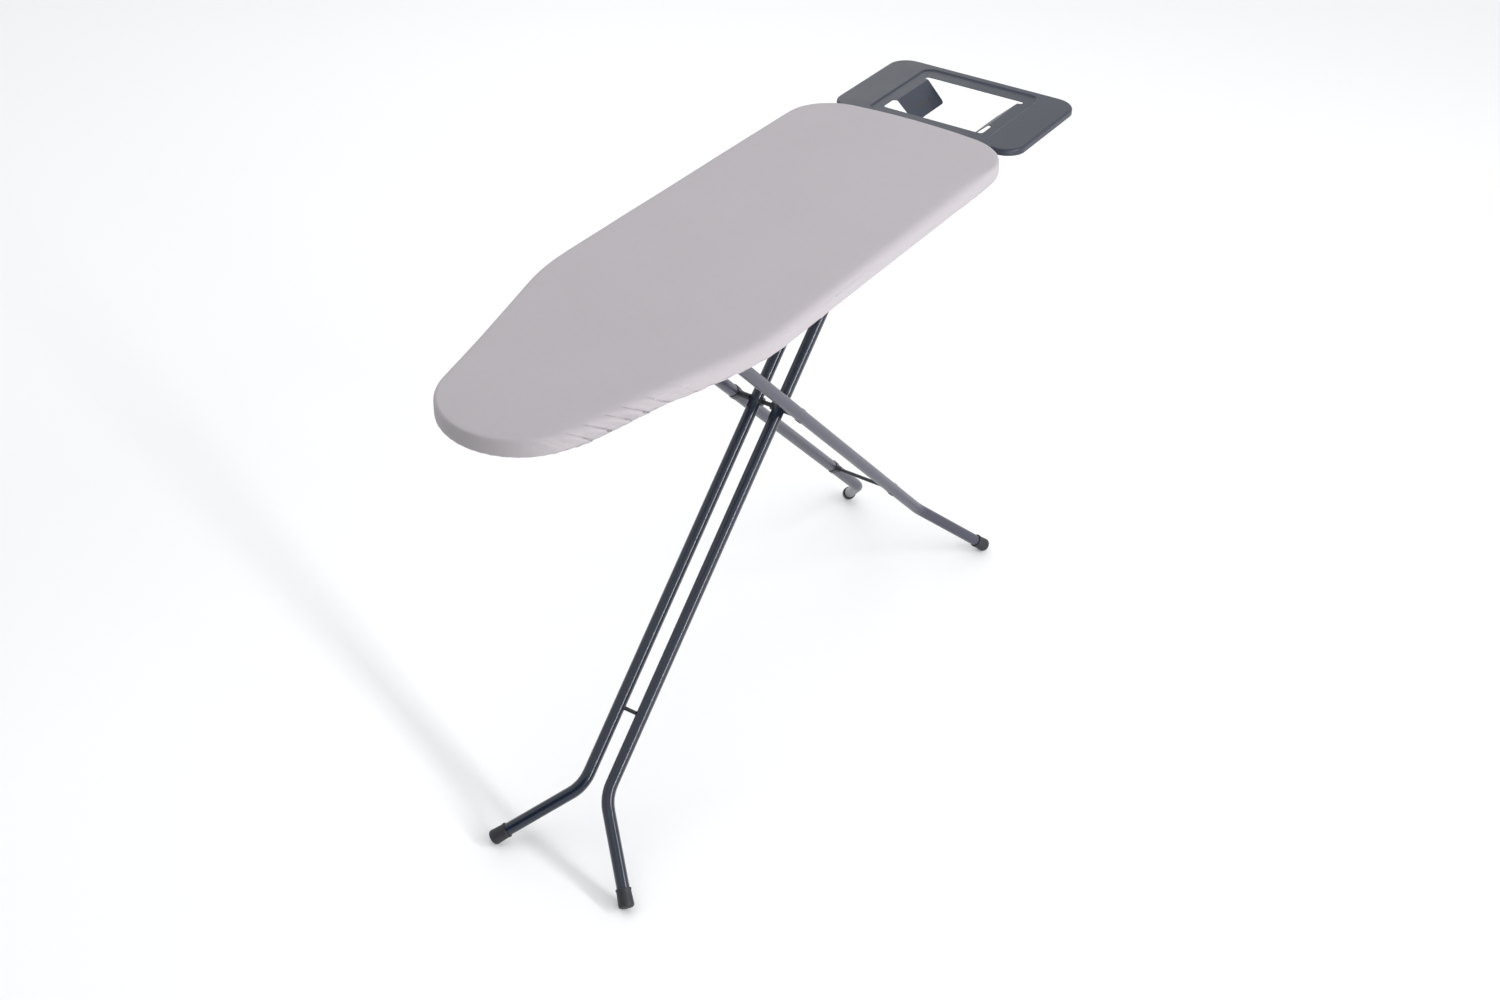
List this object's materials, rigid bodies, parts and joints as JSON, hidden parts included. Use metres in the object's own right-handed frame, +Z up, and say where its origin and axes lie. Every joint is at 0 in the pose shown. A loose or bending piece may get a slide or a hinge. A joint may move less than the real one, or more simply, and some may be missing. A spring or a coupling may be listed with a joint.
{
  "type": "ironing board",
  "caption": "Folding ironing board with a padded cloth-covered steel mesh top, crossed tube legs with splayed feet, and a pressed steel iron rest at the tail.",
  "frame": {"origin": "bottom centre of the bounding box, on the floor under the middle of the board and its iron rest", "axes": "+X from the nose to the iron rest, +Z up, -Y the side whose hem shows"},
  "size_m": [1.52, 0.412, 0.97],
  "materials": {
    "cover_cotton": "woven cotton, matt",
    "felt": "needled felt",
    "elastic": "woven elastic",
    "steel_mesh": "galvanised sheet",
    "zinc": "zinc plated",
    "front_paint": "gloss powder coat",
    "rear_paint": "satin powder coat",
    "rest_paint": "satin powder coat",
    "black_steel": "satin black",
    "rubber": "moulded rubber",
    "plastic": "moulded plastic"
  },
  "bodies": {
    "board": {"cover": "cover_cotton", "hem_elastic": "elastic", "felt_pad": "felt", "mesh_panel": "steel_mesh", "edge_rim": "steel_mesh", "brace_nose": "steel_mesh", "brace_mid": "steel_mesh", "brace_axle": "steel_mesh", "brace_tail": "steel_mesh", "slide_rail_near": "zinc", "slide_rail_far": "zinc", "rail_rivets": "zinc", "axle_bracket": "zinc", "bracket_rivets": "zinc", "lever_bracket": "zinc", "lever_pin": "zinc", "lever_screws": "zinc", "iron_rest": "rest_paint", "rest_arm_near": "black_steel", "rest_arm_far": "black_steel", "rest_rivets": "zinc"},
    "height_lever": {"lever_arm": "zinc", "latch_comb": "zinc", "lever_grip": "plastic", "lever_spring": "zinc"},
    "front_legs": {"front_tube_near": "front_paint", "front_tube_far": "front_paint", "front_axle": "black_steel", "front_axle_nuts": "black_steel", "front_tie_rod": "black_steel", "cross_washers": "black_steel", "front_cap_near": "rubber", "front_cap_far": "rubber"},
    "rear_legs": {"rear_tube_near": "rear_paint", "rear_tube_far": "rear_paint", "cross_axle": "black_steel", "cross_saddles": "plastic", "rear_tie_saddles": "plastic", "slide_bar": "black_steel", "slide_bush_near": "plastic", "slide_bush_far": "plastic", "slide_bar_clips": "black_steel", "rear_tie_rod": "black_steel", "rear_cap_near": "rubber", "rear_cap_far": "rubber"}
  },
  "joints": [
    {"name": "front_fold", "type": "hinge", "parent": "board", "child": "front_legs", "pos_m": [0.318, 0, 0.924], "axis": [0, 1, 0], "range_deg": [0, 42.5]},
    {"name": "rear_fold", "type": "hinge", "parent": "front_legs", "child": "rear_legs", "pos_m": [0.0056, 0, 0.617], "axis": [0, 1, 0], "range_deg": [-85, 0]},
    {"name": "lever_squeeze", "type": "hinge", "parent": "board", "child": "height_lever", "pos_m": [-0.26781, 0.1133, 0.936], "axis": [1, 0, 0], "range_deg": [0, 6], "stiffness_Nm_per_rad": 0.6, "springref_deg": -20.05}
  ],
  "couplings": [
    {"joint": "rear_fold", "follows": "front_fold", "ratio": -2}
  ]
}
